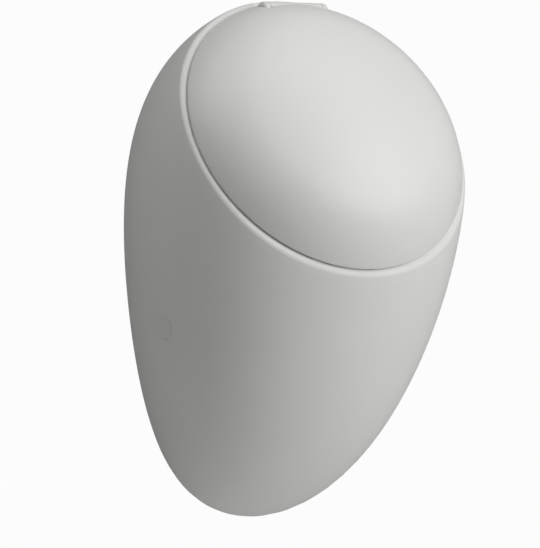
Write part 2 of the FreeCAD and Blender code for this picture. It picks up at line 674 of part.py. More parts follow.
def trap_cup():
    """Screwed cup of the trap with grip ribs, taken off to clean it."""
    high = TRAP_JOINT - CUP_SEAL
    cup = upright(TRAP_RADIUS, TRAP_LOW, high)
    low = [edge for edge in cup.Edges if edge.BoundBox.ZMax < cup.BoundBox.ZMin + 0.01]
    cup = cup.makeFillet(5.0, low)
    for place in round_waste(TRAP_RADIUS, 12, TRAP_LOW + 7):
        cup = cup.fuse(rod(1.6, place, place + Z * (high - TRAP_LOW - 8)))
    return cup.cut(upright(TRAP_RADIUS - PLASTIC + 0.05, TRAP_LOW + PLASTIC, high + 1))


def trap_cup_seal():
    return ring(TRAP_RADIUS, TRAP_RADIUS - PLASTIC + 0.05, TRAP_JOINT - CUP_SEAL, TRAP_JOINT)


def outlet_sleeve():
    """Rubber sleeve that joins the trap's outlet to the drain pipe in the wall."""
    narrow_end = SPOUT_END + 21
    sleeve = level(OUTLET_RADIUS + 4, OUTLET_HEIGHT, 2, SPOUT_END)
    sleeve = sleeve.fuse(level(SPOUT_RADIUS + 3.5, OUTLET_HEIGHT, SPOUT_END - 1, narrow_end))
    for rib in (6, 14, 22):
        sleeve = sleeve.fuse(level(OUTLET_RADIUS + 5.5, OUTLET_HEIGHT, rib, rib + 3))
    sleeve = sleeve.cut(level(OUTLET_RADIUS, OUTLET_HEIGHT, 1, SPOUT_END - 4))
    sleeve = sleeve.cut(level(SPOUT_BORE, OUTLET_HEIGHT, SPOUT_END - 6, SPOUT_END + 4))
    spout = level(SPOUT_RADIUS + 0.05, OUTLET_HEIGHT, SPOUT_END, narrow_end + 1)
    return sleeve.cut(spout).removeSplitter()


# ---------------------------------------------------------------- water inlet
def level_ring(outer, inner, back, front):
    """Ring on the axis of the water inlet, between two distances from the wall."""
    return level(outer, INLET_HEIGHT, back, front).cut(level(inner, INLET_HEIGHT, back - 1, front + 1))


def inlet_tube():
    """Socket for the flush pipe, flange against the bowl's boss and threaded spigot."""
    flange = INLET_BACK - SEAL
    end = INLET_FRONT + 10
    body = level(INLET_RADIUS + 1, INLET_HEIGHT, 2, flange)
    body = body.fuse(level(SPRAY_RADIUS, INLET_HEIGHT, flange - 4, flange))
    body = body.fuse(level(SPIGOT_RADIUS, INLET_HEIGHT, flange, end))
    body = body.cut(level(INLET_BORE, INLET_HEIGHT, 0, INLET_SOCKET))
    body = body.cut(level(INLET_BORE + RING_GROOVE, INLET_HEIGHT, *RING_SPAN))
    return body.cut(level(INLET_BORE - 2, INLET_HEIGHT, INLET_SOCKET - 4, end + 1)).removeSplitter()


def inlet_ring():
    """Rubber ring in the groove of the socket, against the flush pipe."""
    return level_ring(INLET_BORE + RING_GROOVE, INLET_BORE, *RING_SPAN)


def inlet_seal():
    return level_ring(SPRAY_RADIUS - 1, SPIGOT_RADIUS + 0.1, INLET_BACK - SEAL, INLET_BACK)


def spray_seal():
    return level_ring(SPRAY_RADIUS - 1, SPIGOT_RADIUS + 0.1, INLET_FRONT, INLET_FRONT + SPRAY_SEAL)


def spray_head():
    """Domed flush head screwed on the spigot, with a fan of slots low down."""
    back = INLET_FRONT + SPRAY_SEAL
    rise = 9.0
    rim_at = back + 9.0
    radius = (SPRAY_RADIUS ** 2 + rise ** 2) / (2 * rise)
    centre = at(0, rim_at + rise - radius, INLET_HEIGHT)
    ball = Part.makeSphere(radius, centre).fuse(level(SPRAY_RADIUS, INLET_HEIGHT, back, rim_at))
    body = level(SPRAY_RADIUS, INLET_HEIGHT, back, rim_at + rise + 1).common(ball)
    inner = level(SPRAY_RADIUS - SPRAY_SHELL, INLET_HEIGHT, back + SPRAY_SHELL, rim_at + rise)
    inner = inner.common(Part.makeSphere(radius - SPRAY_SHELL, centre))
    body = body.cut(inner).cut(level(SPIGOT_RADIUS + 0.05, INLET_HEIGHT, back - 1, back + 4))
    for degrees in (-60, -36, -12, 12, 36, 60):
        slot = block(-2.2, 2.2, -rim_at - 0.5, -back - 4, -2 * SPRAY_RADIUS, 8 - SPRAY_RADIUS)
        slot.rotate(Vector(0, 0, 0), Y, degrees)
        slot.translate(Z * (INLET_HEIGHT - HANGER_HEIGHT))
        body = body.cut(slot)
    return body.removeSplitter()


# ---------------------------------------------------------------- fixing
def hanger_plate():
    """Folded steel hanger: wall flange, shelf under the ceramic land and a lip before it."""
    top = BACK_PLATE_LOW - HANGER_PAD
    lip = BACK_PLATE + 2
    half = HANGER_HALF_WIDTH
    path = [at(-half, 0, HANGER_HEIGHT - 20), at(-half, 0, top), at(-half, lip, top),
            at(-half, lip, top + HANGER_LIP)]
    radii = (HANGER_BEND + HANGER_STEEL, HANGER_BEND)
    plate = folded(path, radii, -HANGER_STEEL, X * 2 * half)
    for x in (-HANGER_SPACING / 2, HANGER_SPACING / 2):
        hole = rod(SCREW_HOLE_RADIUS, at(x, -PAST, HANGER_HEIGHT), at(x, PAST, HANGER_HEIGHT))
        plate = plate.cut(hole)
    return plate


def hanger_pads():
    """Two rubber strips between the shelf and the ceramic land."""
    back, front = HANGER_BEND + HANGER_STEEL + 0.5, BACK_PLATE - 0.5
    high = BACK_PLATE_LOW - HANGER_HEIGHT
    strips = [block(x - 26, x + 26, -front, -back, high - HANGER_PAD, high) for x in (-48, 48)]
    return Part.makeCompound(strips)


def side_bracket():
    """Right-hand folded strip: wall flange, spread arm and a threaded end behind the boss."""
    outer = SIDE_BOSS_FACE - SEAL
    low = SIDE_FIX_HEIGHT - STRIP_HALF_HEIGHT
    path = [at(46, 0, low), at(88, 0, low), at(88, 38, low), at(outer, 88, low),
            at(outer, SIDE_FIX_AHEAD + 14, low)]
    wide = STRIP_BEND + STRIP
    strip = folded(path, (wide, STRIP_BEND, wide), STRIP, Z * 2 * STRIP_HALF_HEIGHT)
    hole = rod(SIDE_HOLE_RADIUS, at(SIDE_HOLE_X, -PAST, SIDE_FIX_HEIGHT), at(SIDE_HOLE_X, 9, SIDE_FIX_HEIGHT))
    return strip.cut(hole).cut(side_rod(CLAMP_RADIUS + 0.05, outer - STRIP - 2, outer + 2))


def clamp_pad():
    """Rubber disc between the bracket and the ceramic boss."""
    back, front = SIDE_BOSS_FACE - SEAL, SIDE_BOSS_FACE
    return side_rod(14, back, front).cut(side_rod(CLAMP_RADIUS + 0.3, back - 1, front + 1))


def clamp_sleeve():
    """Flanged plastic sleeve that keeps the clamp screw off the ceramic."""
    start, floor = SIDE_BOSS_FACE + 1, SIDE_BORE_FLOOR
    sleeve = side_rod(SLEEVE_HOLE_RADIUS - 0.2, start, floor + 1).fuse(side_rod(11, floor, floor + 2))
    return sleeve.cut(side_rod(CLAMP_RADIUS + 0.3, start - 2, floor + 3))


def clamp_screw():
    """Socket head screw from the recess in the ceramic into the bracket."""
    seat = SIDE_BORE_FLOOR + 2
    screw = side_rod(CLAMP_RADIUS, SIDE_BOSS_FACE - 9, seat + 1).fuse(side_rod(6.5, seat, seat + 5))
    return screw.cut(hexagon(3.0, at(seat + 2, SIDE_FIX_AHEAD, SIDE_FIX_HEIGHT), X * 5))


def side_cap():
    """Cover cap whose face follows the egg, with a skirt in the recess."""
    floor = SIDE_BORE_FLOOR
    face = side_rod(SIDE_CAP_RADIUS, floor + 8, floor + 30).common(egg(-SIDE_CAP_PROUD))
    rim = max(face.Edges, key=lambda edge: edge.CenterOfMass.x if edge.Length > SIDE_CAP_RADIUS else 0.0)
    face = face.makeFillet(CAP_ROUNDING, [rim])
    skirt = side_rod(SIDE_CAP_RADIUS - 0.1, floor + 1, floor + 9)
    skirt = skirt.cut(side_rod(SIDE_CAP_RADIUS - 1.8, floor, floor + 8))
    return face.fuse(skirt).removeSplitter()


PARTS = {
    "ceramic_body": ceramic_body,
    "lid_shell": lid_shell,
    "lid_buffers": lid_buffers,
    "hinge_leaf": hinge_leaf,
    "leaf_screws": leaf_screws,
    "hinge_base": hinge_base,
    "hinge_gasket": hinge_gasket,
    "hinge_bolts": hinge_bolts,
    "hinge_bushes": hinge_bushes,
    "damper_left": lambda: damper_bodies(-1),
    "damper_right": lambda: damper_bodies(1),
    "damper_shafts": damper_shafts,
    "waste_gasket": waste_gasket,
    "waste_flange": waste_flange,
    "waste_washer": waste_washer,
    "waste_nut": waste_nut,
    "strainer": strainer,
    "trap_body": trap_body,
    "tail_seal": tail_seal,
    "trap_cup": trap_cup,
    "trap_cup_seal": trap_cup_seal,
    "outlet_sleeve": outlet_sleeve,
    "inlet_tube": inlet_tube,
    "inlet_ring": inlet_ring,
    "inlet_seal": inlet_seal,
    "spray_seal": spray_seal,
    "spray_head": spray_head,
    "hanger_plate": hanger_plate,
    "hanger_pads": hanger_pads,
    "side_bracket_right": side_bracket,
    "side_bracket_left": lambda: mirror_x(side_bracket()),
    "clamp_pads": lambda: Part.makeCompound(both_sides(clamp_pad())),
    "clamp_sleeves": lambda: Part.makeCompound(both_sides(clamp_sleeve())),
    "clamp_screws": lambda: Part.makeCompound(both_sides(clamp_screw())),
    "side_cap_right": side_cap,
    "side_cap_left": lambda: mirror_x(side_cap()),
}


def main():
    os.makedirs("parts", exist_ok=True)
    for name, make in PARTS.items():
        shape = make()
        if not shape.isValid():
            raise ValueError(name + " is not a valid solid")
        shape.exportStep("parts/%s.step" % name)
        print(name, len(shape.Solids), "solid(s),", round(shape.Volume / 1000, 1), "cm3")


main()
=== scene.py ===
"""Looks of the wall hung urinal with a domed lid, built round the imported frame.

Metres, in the frame of the part: the wall is the plane y = 0, the object stands out of it
towards -Y, +Z is up, and the origin lies midway between the two hanger screws.
"""

import json
import logging
import math
from dataclasses import dataclass
from enum import Enum

import bmesh
import bpy
from mathutils import Matrix, Vector

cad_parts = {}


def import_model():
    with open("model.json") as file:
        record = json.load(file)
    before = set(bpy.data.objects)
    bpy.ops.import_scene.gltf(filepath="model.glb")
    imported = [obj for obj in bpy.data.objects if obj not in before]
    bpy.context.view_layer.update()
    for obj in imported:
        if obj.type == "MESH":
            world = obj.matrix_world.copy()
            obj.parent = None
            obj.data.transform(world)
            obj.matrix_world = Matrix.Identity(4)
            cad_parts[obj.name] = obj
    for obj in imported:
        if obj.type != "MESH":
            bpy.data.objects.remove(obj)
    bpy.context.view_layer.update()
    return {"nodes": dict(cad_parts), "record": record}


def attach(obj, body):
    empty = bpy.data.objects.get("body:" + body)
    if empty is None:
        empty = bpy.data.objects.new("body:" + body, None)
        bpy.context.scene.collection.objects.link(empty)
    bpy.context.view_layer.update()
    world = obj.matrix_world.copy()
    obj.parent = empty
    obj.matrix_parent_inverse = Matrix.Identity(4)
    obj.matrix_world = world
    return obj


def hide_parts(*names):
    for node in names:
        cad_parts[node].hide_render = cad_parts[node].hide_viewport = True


LOG = logging.getLogger("urinal")
MM = 0.001
HANGER_HEIGHT = 370.0  # hanger screws above the lowest point of the body
FULL_TURN = 2 * math.pi
MERGE = 1e-4  # vertices nearer than this, in millimetres, are one
ON_PLANE = 1e-3  # a vertex this near to a plane, in millimetres, lies on it


def at(x: float, ahead: float, height: float) -> Vector:
    """Point in metres from millimetres off the centre line, the wall and the lowest point."""
    return Vector((x, -ahead, height - HANGER_HEIGHT)) * MM


def linear(code: str) -> tuple[float, float, float, float]:
    """Linear colour of an sRGB hex value.

    Args:
        code: six hex digits after a hash.

    Returns:
        Red, green, blue and an alpha of 1.
    """
    levels = [int(code[i : i + 2], 16) / 255 for i in (1, 3, 5)]
    low = [v / 12.92 if v <= 0.04045 else ((v + 0.055) / 1.055) ** 2.4 for v in levels]
    return (low[0], low[1], low[2], 1.0)


def node(tree: bpy.types.NodeTree, kind: str, settings: dict | None = None, **links) -> bpy.types.Node:
    """Add one shader node.

    Args:
        tree: the material's node tree.
        kind: the node's type name.
        settings: attributes of the node.
        **links: value or output socket for each input, spaces written as underscores.

    Returns:
        The new node.
    """
    made = tree.nodes.new(kind)
    for key, value in (settings or {}).items():
        setattr(made, key, value)
    for key, value in links.items():
        socket = made.inputs[key.replace("_", " ")]
        if isinstance(value, bpy.types.NodeSocket):
            tree.links.new(value, socket)
        else:
            socket.default_value = value
    return made


class Grain(Enum):
    """How a surface was made, which decides the pattern of its fine relief."""

    GLAZED = "glazed"
    MOULDED = "moulded"
    BRUSHED = "brushed"
    SPANGLED = "spangled"


@dataclass(frozen=True)
class Finish:
    """One real material, named for what it is and how its surface was made."""

    title: str
    colour: str
    tint: str
    roughness: float
    swing: float
    grain: Grain
    patch_mm: float
    grain_mm: float
    relief_mm: float
    metallic: float = 0.0
    ior: float = 1.5
    coat: float = 0.0

    def material(self) -> bpy.types.Material:
        """Build the node material, or fetch it when it is built already.

        Returns:
            The material.
        """
        found = bpy.data.materials.get(self.title)
        if found:
            return found
        made = bpy.data.materials.new(self.title)
        made.use_nodes = True
        tree = made.node_tree
        shader = tree.nodes["Principled BSDF"]
        place = node(tree, "ShaderNodeTexCoord").outputs["Object"]
        if self.grain is Grain.BRUSHED:
            place = node(tree, "ShaderNodeMapping", Vector=place, Scale=(1.0, 1.0, 0.04)).outputs["Vector"]
        patch = node(tree, "ShaderNodeTexNoise", Vector=place, Scale=1 / (self.patch_mm * MM), Detail=2.0)
        tone = node(tree, "ShaderNodeMix", {"data_type": "RGBA"})
        tone.inputs[6].default_value = linear(self.colour)
        tone.inputs[7].default_value = linear(self.tint)
        tree.links.new(patch.outputs["Fac"], tone.inputs[0])
        tree.links.new(tone.outputs[2], shader.inputs["Base Color"])
        fine = self.relief(tree, place)
        low, high = self.roughness - self.swing, self.roughness + self.swing
        spread = node(tree, "ShaderNodeMapRange", Value=fine, To_Min=low, To_Max=high)
        tree.links.new(spread.outputs["Result"], shader.inputs["Roughness"])
        bump = node(tree, "ShaderNodeBump", Height=fine, Distance=self.relief_mm * MM, Strength=1.0)
        tree.links.new(bump.outputs["Normal"], shader.inputs["Normal"])
        shader.inputs["Metallic"].default_value = self.metallic
        shader.inputs["IOR"].default_value = self.ior
        shader.inputs["Coat Weight"].default_value = self.coat
        return made

    def relief(self, tree: bpy.types.NodeTree, place: bpy.types.NodeSocket) -> bpy.types.NodeSocket:
        """Fine pattern that drives the bump and the roughness.

        Args:
            tree: the material's node tree.
            place: the coordinates to read.

        Returns:
            A socket with a value between 0 and 1.
        """
        scale = 1 / (self.grain_mm * MM)
        if self.grain is Grain.SPANGLED:
            return node(tree, "ShaderNodeTexVoronoi", Vector=place, Scale=scale).outputs["Color"]
        return node(tree, "ShaderNodeTexNoise", Vector=place, Scale=scale, Detail=3.0).outputs["Fac"]


# Vitreous china under an opaque satin glaze: soft, wide sheen with a faint orange peel.
CHINA = Finish("glazed_vitreous_china", "#E9E9E7", "#E4E4E2", 0.46, 0.03, Grain.GLAZED, 90.0, 7.0, 0.010)
# Compression moulded urea thermoset: denser white, a little smoother than the glaze.
UREA = Finish("moulded_urea_thermoset", "#E9E9E7", "#E5E5E3", 0.44, 0.02, Grain.MOULDED, 120.0, 5.0, 0.006)
# Injection moulded ABS: fine even texture.
ABS = Finish("moulded_white_abs", "#E6E6E3", "#E1E1DE", 0.45, 0.03, Grain.MOULDED, 40.0, 0.8, 0.004)
# EPDM rubber: dull black with a powdery bloom.
EPDM = Finish("moulded_epdm_rubber", "#1B1B1C", "#29292A", 0.78, 0.06, Grain.MOULDED, 12.0, 0.6, 0.020)
# Clear silicone looks milky in a thick foot.
SILICONE = Finish("milky_silicone_rubber", "#DCDBD6", "#D2D1CB", 0.50, 0.04, Grain.MOULDED, 8.0, 0.8, 0.006)
# Glass filled nylon: grey with a slight fibre swirl.
NYLON = Finish("moulded_grey_nylon", "#6C6F72", "#5F6265", 0.55, 0.05, Grain.MOULDED, 9.0, 0.7, 0.010)
# Polypropylene pipe ware: waxy white.
POLYPROPYLENE = Finish(
    "moulded_white_polypropylene", "#DEDEDA", "#D6D6D1", 0.42, 0.04, Grain.MOULDED, 25.0, 1.2, 0.010)
# Chrome plate on polished brass.
CHROME = Finish(
    "chrome_plated_brass", "#D3D5D8", "#CDD0D4", 0.10, 0.03, Grain.GLAZED, 30.0, 3.0, 0.001, metallic=1.0)
# Zinc plate on pressed steel: cloudy crystals of a few millimetres.
ZINC = Finish(
    "zinc_plated_steel", "#B4B8BD", "#9DA2A8", 0.36, 0.09, Grain.SPANGLED, 14.0, 4.0, 0.003, metallic=1.0)
# Drawn stainless steel bar.
STAINLESS = Finish(
    "drawn_stainless_steel", "#BDBCB9", "#ADACA9", 0.28, 0.06, Grain.BRUSHED, 6.0, 0.4, 0.002, metallic=1.0)

SLOT_FINISH = {
    "white_glazed_china": CHINA,
    "white_thermoset_lid": UREA,
    "white_moulded_plastic": ABS,
    "black_rubber": EPDM,
    "clear_white_rubber": SILICONE,
    "grey_plastic": NYLON,
    "white_pipe_plastic": POLYPROPYLENE,
    "chromed_brass": CHROME,
    "zinc_plated_steel": ZINC,
    "stainless_steel": STAINLESS,
}


# ---------------------------------------------------------------- mesh helpers
def turned(profile: list[tuple[float, float]], steps: int) -> bmesh.types.BMesh:
    """Closed solid of revolution about Z.

    Args:
        profile: radius and height in millimetres, from the axis round to the axis, or a closed ring.
        steps: number of facets round the axis.

    Returns:
        A bmesh in millimetres.
    """
    bm = bmesh.new()
    dots = [bm.verts.new((radius, 0.0, height)) for radius, height in profile]
    lines = [bm.edges.new(pair) for pair in zip(dots, dots[1:])]
    on_axis = max(profile[0][0], profile[-1][0]) < MERGE
    if not on_axis:
        lines.append(bm.edges.new((dots[-1], dots[0])))
    bmesh.ops.spin(bm, geom=dots + lines, cent=(0, 0, 0), axis=(0, 0, 1), angle=FULL_TURN, steps=steps,
                   use_merge=True)
    bmesh.ops.remove_doubles(bm, verts=bm.verts, dist=MERGE)
    bmesh.ops.recalc_face_normals(bm, faces=bm.faces)
    return bm


def arc(centre: tuple[float, float], radius: float, start_deg: float, end_deg: float,
        steps: int) -> list[tuple[float, float]]:
    """Points on an arc of a profile, both ends included.

    Args:
        centre: radius and height of the arc's centre.
        radius: the arc's own radius.
        start_deg: first angle, from the outward direction towards the upward one.
        end_deg: last angle.
        steps: number of runs between the points.

    Returns:
        Radius and height of each point.
    """
    angles = [math.radians(start_deg + (end_deg - start_deg) * i / steps) for i in range(steps + 1)]
    return [(centre[0] + radius * math.cos(a), centre[1] + radius * math.sin(a)) for a in angles]


def bar(radius: float, start: Vector, end: Vector, steps: int = 64) -> bmesh.types.BMesh:
    """Round bar between two points.

    Args:
        radius: the bar's radius.
        start: one end.
        end: the other end.
        steps: facets round it.

    Returns:
        A bmesh in the units of the points.
    """
    bm = bmesh.new()
    run = end - start
    bmesh.ops.create_cone(bm, cap_ends=True, segments=steps, radius1=radius, radius2=radius, depth=run.length)
    place = Matrix.Translation((start + end) / 2) @ run.to_track_quat("Z", "Y").to_matrix().to_4x4()
    bmesh.ops.transform(bm, matrix=place, verts=bm.verts)
    return bm


def brick(low: tuple[float, float, float], high: tuple[float, float, float]) -> bmesh.types.BMesh:
    """Box between two corners.

    Args:
        low: lowest corner.
        high: highest corner.

    Returns:
        A bmesh in the units of the corners.
    """
    bm = bmesh.new()
    bmesh.ops.create_cube(bm, size=1.0)
    size = Vector(high) - Vector(low)
    bmesh.ops.scale(bm, vec=size, verts=bm.verts)
    bmesh.ops.translate(bm, vec=Vector(low) + size / 2, verts=bm.verts)
    return bm


def placed(bm: bmesh.types.BMesh, place: Matrix) -> bmesh.types.BMesh:
    """Move a bmesh by a matrix and hand it back."""
    bmesh.ops.transform(bm, matrix=place, verts=bm.verts)
    return bm


def faced(bm: bmesh.types.BMesh) -> bmesh.types.BMesh:
    """Turn the normals of a bmesh outward and hand it back."""
    bmesh.ops.recalc_face_normals(bm, faces=bm.faces)
    return bm


def rounded(bm: bmesh.types.BMesh, edges: list[bmesh.types.BMEdge], size: float, segments: int) -> None:
    """Round edges of a bmesh.

    Args:
        bm: the bmesh.
        edges: the edges to round.
        size: how far the rounding reaches from each edge.
        segments: facets across it.
    """
    bmesh.ops.bevel(bm, geom=edges, offset=size, offset_type="OFFSET", segments=segments, profile=0.5,
                    affect="EDGES", material=-1)


def trimmed(bm: bmesh.types.BMesh, spot: tuple[float, float, float],
            normal: tuple[float, float, float]) -> None:
    """Cut a closed bmesh off at a plane and cap it.

    Args:
        bm: the bmesh.
        spot: a point of the plane.
        normal: the side that goes.
    """
    geom = bm.verts[:] + bm.edges[:] + bm.faces[:]
    cut = bmesh.ops.bisect_plane(bm, geom=geom, plane_co=spot, plane_no=normal, clear_outer=True)
    bmesh.ops.contextual_create(bm, geom=[e for e in cut["geom_cut"] if isinstance(e, bmesh.types.BMEdge)])


def thing(bm: bmesh.types.BMesh, name: str) -> bpy.types.Object:
    """Object at the origin from a bmesh, which is used up."""
    mesh = bpy.data.meshes.new(name)
    bm.to_mesh(mesh)
    bm.free()
    made = bpy.data.objects.new(name, mesh)
    bpy.context.scene.collection.objects.link(made)
    return made


def taken(helper: bpy.types.Object) -> bmesh.types.BMesh:
    """Bmesh of a helper solid, which is used up."""
    bm = bmesh.new()
    bm.from_mesh(helper.data)
    bpy.data.objects.remove(helper)
    return bm


class Cut(Enum):
    """What a tool does to a solid."""

    AWAY = "DIFFERENCE"
    ADD = "UNION"
    KEEP = "INTERSECT"


def carve(target: bpy.types.Object, tool: bmesh.types.BMesh, how: Cut) -> None:
    """Work a tool into a solid and keep the result as its mesh.

    Args:
        target: the solid.
        tool: the tool, which is used up.
        how: what the tool does.
    """
    helper = thing(tool, "tool")
    step = target.modifiers.new("carve", "BOOLEAN")
    step.operation = how.value
    step.solver = "EXACT"
    step.object = helper
    evaluated = target.evaluated_get(bpy.context.evaluated_depsgraph_get())
    fresh = bpy.data.meshes.new_from_object(evaluated)
    target.modifiers.clear()
    old = target.data
    target.data = fresh
    bpy.data.meshes.remove(old)
    spent = helper.data
    bpy.data.objects.remove(helper)
    bpy.data.meshes.remove(spent)


@dataclass(frozen=True)
class Piece:
    """How one finished piece joins the object."""

    body: str
    finish: Finish
    slot: str
    stands_for: tuple[str, ...]
    sharp_deg: float = 32.0
    merge: float = 2e-6

    def settle(self, made: bpy.types.Object) -> None:
        """Bring a piece to metres, smooth it, dress it and let it ride.

        Args:
            made: the object, its mesh still in millimetres.
        """
        bm = bmesh.new()
        bm.from_mesh(made.data)
        bmesh.ops.scale(bm, vec=(MM,) * 3, verts=bm.verts)
        bmesh.ops.remove_doubles(bm, verts=bm.verts, dist=self.merge)
        bmesh.ops.dissolve_degenerate(bm, edges=bm.edges, dist=self.merge)
        bm.to_mesh(made.data)
        bm.free()
        made.data.shade_smooth()
        made.data.set_sharp_from_angle(angle=math.radians(self.sharp_deg))
        made.data.materials.clear()
        made.data.materials.append(self.finish.material())
        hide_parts(*self.stands_for)
        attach(made, self.body)
        LOG.info("piece %s: %d faces, %s", made.name, len(made.data.polygons), self.finish.title)


# ---------------------------------------------------------------- forms
class Form:
    """A closed smooth form given by its horizontal sections, in millimetres of the frame."""

    def outside(self, spot: Vector) -> bool:
        """True for a point outside the form."""
        raise NotImplementedError

    def reach(self, start: Vector, heading: Vector, far: float = 700.0, halvings: int = 30) -> float:
        """Distance from an inner point to the surface.

        Args:
            start: a point inside the form.
            heading: unit direction.
            far: a distance that is surely outside.
            halvings: how often the interval is halved.

        Returns:
            The distance in millimetres.
        """
        near = 0.0
        for _ in range(halvings):
            middle = (near + far) / 2
            if self.outside(start + heading * middle):
                far = middle
            else:
                near = middle
        return (near + far) / 2


@dataclass
class Egg(Form):
    """Outer form of the ware, drawn in by inset; taper and centre are the terms of its curves."""

    inset: float = 0.0
    height: float = 522.5
    half_width: float = 162.9
    taper: tuple[float, float, float] = (0.209, 0.148, -0.027)
    front_ratio: float = 0.883
    rear_ratio: float = 1.173
    centre: tuple[float, float, float, float] = (126.2, 91.0, -24.5, 10.8)

    def outside(self, spot: Vector) -> bool:
        """True for a point outside the egg."""
        share = (spot.z + HANGER_HEIGHT - self.inset) / (self.height - 2 * self.inset)
        if not 0.0 < share < 1.0:
            return True
        lean = 2 * share - 1
        k1, k2, k3 = self.taper
        width = (self.half_width - self.inset) * 2 * math.sqrt(share * (1 - share))
        width *= 1 + k1 * lean + k2 * lean**2 + k3 * lean**3
        c0, c1, c2, c3 = self.centre
        depth = -spot.y - (c0 + c1 * lean / 2 + c2 * lean**2 + c3 * lean**3)
        mean = (self.front_ratio + self.rear_ratio) / 2 * width
        skew = (self.front_ratio - self.rear_ratio) / 2 * width
        inner = mean**2 + 4 * skew * depth
        if inner <= 0.0:
            return True
        level = (math.sqrt(inner) - mean) / (2 * skew)
        return (spot.x / width) ** 2 + level**2 > 1.0


@dataclass
class Basin(Form):
    """Hollow of the bowl, widened by grow; taper and centre are the terms of its curves."""

    grow: float = 0.0
    low: float = 168.0
    high: float = 478.0
    half_width: float = 150.0
    half_depth: float = 100.6
    squareness: float = 2.6
    centre: tuple[float, float, float] = (169.5, 11.5, -63.0)
    taper: tuple[float, float] = (0.10, -0.12)

    def outside(self, spot: Vector) -> bool:
        """True for a point outside the bowl's hollow."""
        half = (self.high - self.low) / 2
        level = (spot.z + HANGER_HEIGHT - (self.high + self.low) / 2) / (half + self.grow)
        if not -1.0 < level < 1.0:
            return True
        close = math.sqrt(1 - abs(level) ** self.squareness)
        k1, k2 = self.taper
        width = (self.half_width * (1 + k1 * level + k2 * level**2) + self.grow) * close
        depth = (self.half_depth + self.grow) * close
        c0, c1, c2 = self.centre
        ahead = -spot.y - (c0 + c1 * level + c2 * level**2)
        return (spot.x / width) ** 2 + (ahead / depth) ** 2 > 1.0


LID_TILT_DEG = 30.1
LID_CENTRE = Vector((0.0, -185.0, 379.5 - HANGER_HEIGHT))
LID_PLACE = Matrix.Translation(LID_CENTRE) @ Matrix.Rotation(math.radians(90.0 - LID_TILT_DEG), 4, "X")
FIRST_RING_DEG = 3.0  # first ring of a form below its cut
ROUND_STEPS = 192  # facets round the lid's axis


def half_ball(form: Form, drop: float, first_deg: float, rings: int = 48,
              steps: int = 160) -> bmesh.types.BMesh:
    """The part of a form below the lid plane as a closed solid, its rings square to the lid's axis.

    Args:
        form: the form.
        drop: how far below the lid plane it is cut off.
        first_deg: angle of the first ring under the cut, which leaves room to round the edge.
        rings: number of rings.
        steps: facets round each ring.

    Returns:
        A bmesh in millimetres of the frame.
    """
    bm = bmesh.new()
    bmesh.ops.create_uvsphere(bm, u_segments=steps, v_segments=2 * rings, radius=1.0)
    upper = [v for v in bm.verts if v.co.z > MERGE]
    bmesh.ops.delete(bm, geom=upper, context="VERTS")
    start = LID_PLACE @ Vector((0, 0, -drop))
    turn = LID_PLACE.to_3x3()
    for dot in bm.verts:
        ring = round(math.asin(min(1.0, -dot.co.z)) / (math.pi / 2) * rings)
        sink = math.radians(first_deg + (90 - first_deg) * (ring - 1) / (rings - 1)) if ring else 0.0
        flat = Vector((dot.co.x, dot.co.y, 0.0))
        flat = flat.normalized() if flat.length > 1e-6 else flat
        heading = turn @ (flat * math.cos(sink) - Vector((0, 0, math.sin(sink))))
        dot.co = start + heading * form.reach(start, heading)
    bmesh.ops.contextual_create(bm, geom=[e for e in bm.edges if e.is_boundary])
    return faced(bm)


